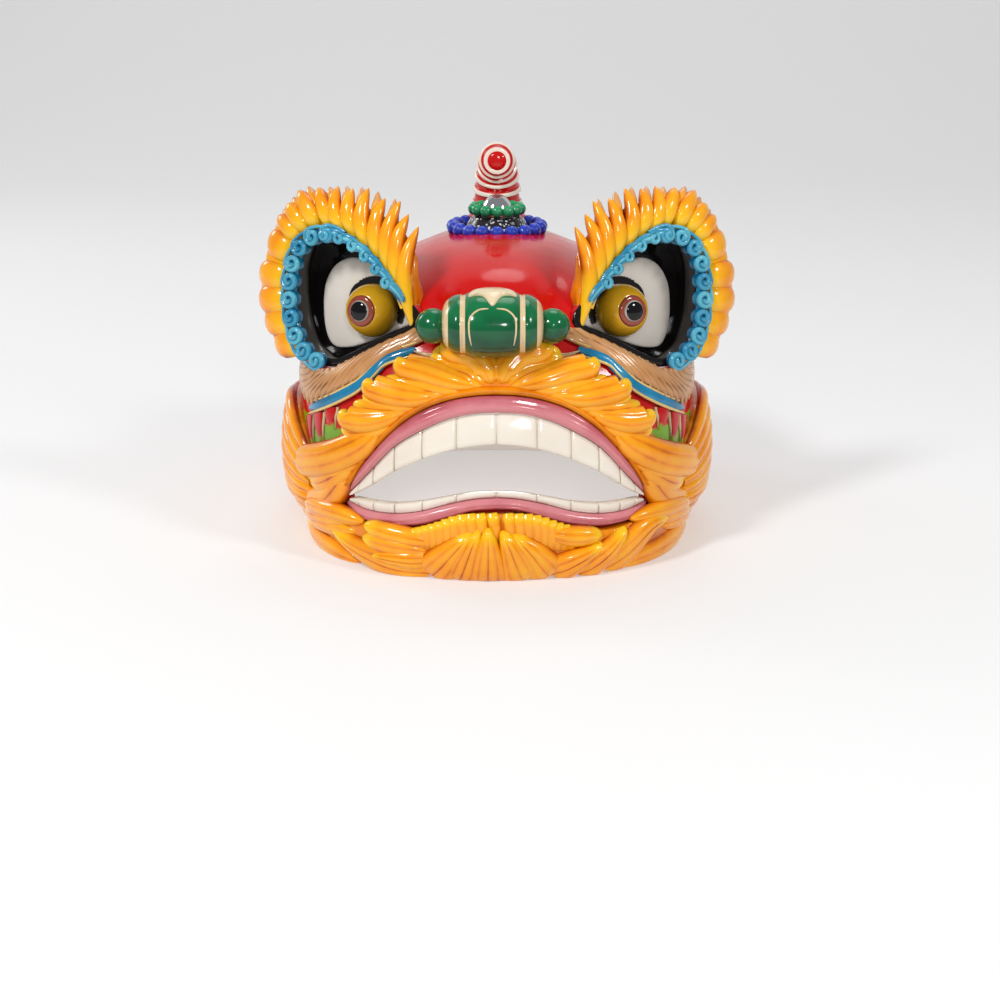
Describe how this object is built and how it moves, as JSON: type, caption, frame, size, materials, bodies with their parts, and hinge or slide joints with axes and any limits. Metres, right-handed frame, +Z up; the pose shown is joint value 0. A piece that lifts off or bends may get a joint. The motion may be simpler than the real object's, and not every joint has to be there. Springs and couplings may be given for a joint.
{
  "type": "lion dance head",
  "caption": "Glazed ceramic southern-style lion dance head: hollow red skull with open mouth, petal-ringed eyes, mirror boss and horn, curling mane and beard.",
  "frame": {"origin": "centre of the base of the overall bounding box, on the surface it stands on", "axes": "+X to the right of a viewer facing the head, -Y out of the face, +Z up"},
  "size_m": [0.39, 0.3991, 0.31],
  "materials": {
    "red_glaze": "glazed ceramic, high gloss",
    "orange_glaze": "glazed ceramic, high gloss",
    "tan_glaze": "glazed ceramic, high gloss",
    "scroll_blue_glaze": "glazed ceramic, high gloss",
    "black_glaze": "glazed ceramic, high gloss",
    "white_glaze": "glazed ceramic, high gloss",
    "ochre_glaze": "glazed ceramic, high gloss",
    "maroon_glaze": "glazed ceramic, high gloss",
    "green_glaze": "glazed ceramic, high gloss",
    "cream_glaze": "glazed ceramic, high gloss",
    "green_bead_glaze": "glazed ceramic, high gloss",
    "blue_bead_glaze": "glazed ceramic, high gloss",
    "pink_glaze": "glazed ceramic, high gloss",
    "tooth_glaze": "glazed ceramic, high gloss",
    "mirror_dome": "silvered glass dome"
  },
  "bodies": {
    "root": {"head_shell": "red_glaze", "nose": "green_glaze", "nose_crest": "cream_glaze", "horn": "red_glaze", "mirror_cone": "black_glaze", "mirror": "mirror_dome", "green_beads": "green_bead_glaze", "blue_beads": "blue_bead_glaze", "upper_lip": "pink_glaze", "lower_lip": "pink_glaze", "upper_teeth": "tooth_glaze", "lower_teeth": "tooth_glaze", "upper_mane": "orange_glaze", "beard": "orange_glaze", "eye_socket_left": "black_glaze", "eye_socket_right": "black_glaze", "sclera_left": "white_glaze", "sclera_right": "white_glaze", "eyeball_left": "ochre_glaze", "eyeball_right": "ochre_glaze", "iris_left": "maroon_glaze", "iris_right": "maroon_glaze", "pupil_left": "black_glaze", "pupil_right": "black_glaze", "scroll_rim_left": "scroll_blue_glaze", "scroll_rim_right": "scroll_blue_glaze", "eye_ruff_left": "orange_glaze", "eye_ruff_right": "orange_glaze", "eye_fur_left": "tan_glaze", "eye_fur_right": "tan_glaze", "cheek_band_left": "scroll_blue_glaze", "cheek_band_right": "scroll_blue_glaze", "side_mane_left": "orange_glaze", "side_mane_right": "orange_glaze", "nostril_left": "green_glaze", "nostril_right": "green_glaze"}
  },
  "joints": []
}
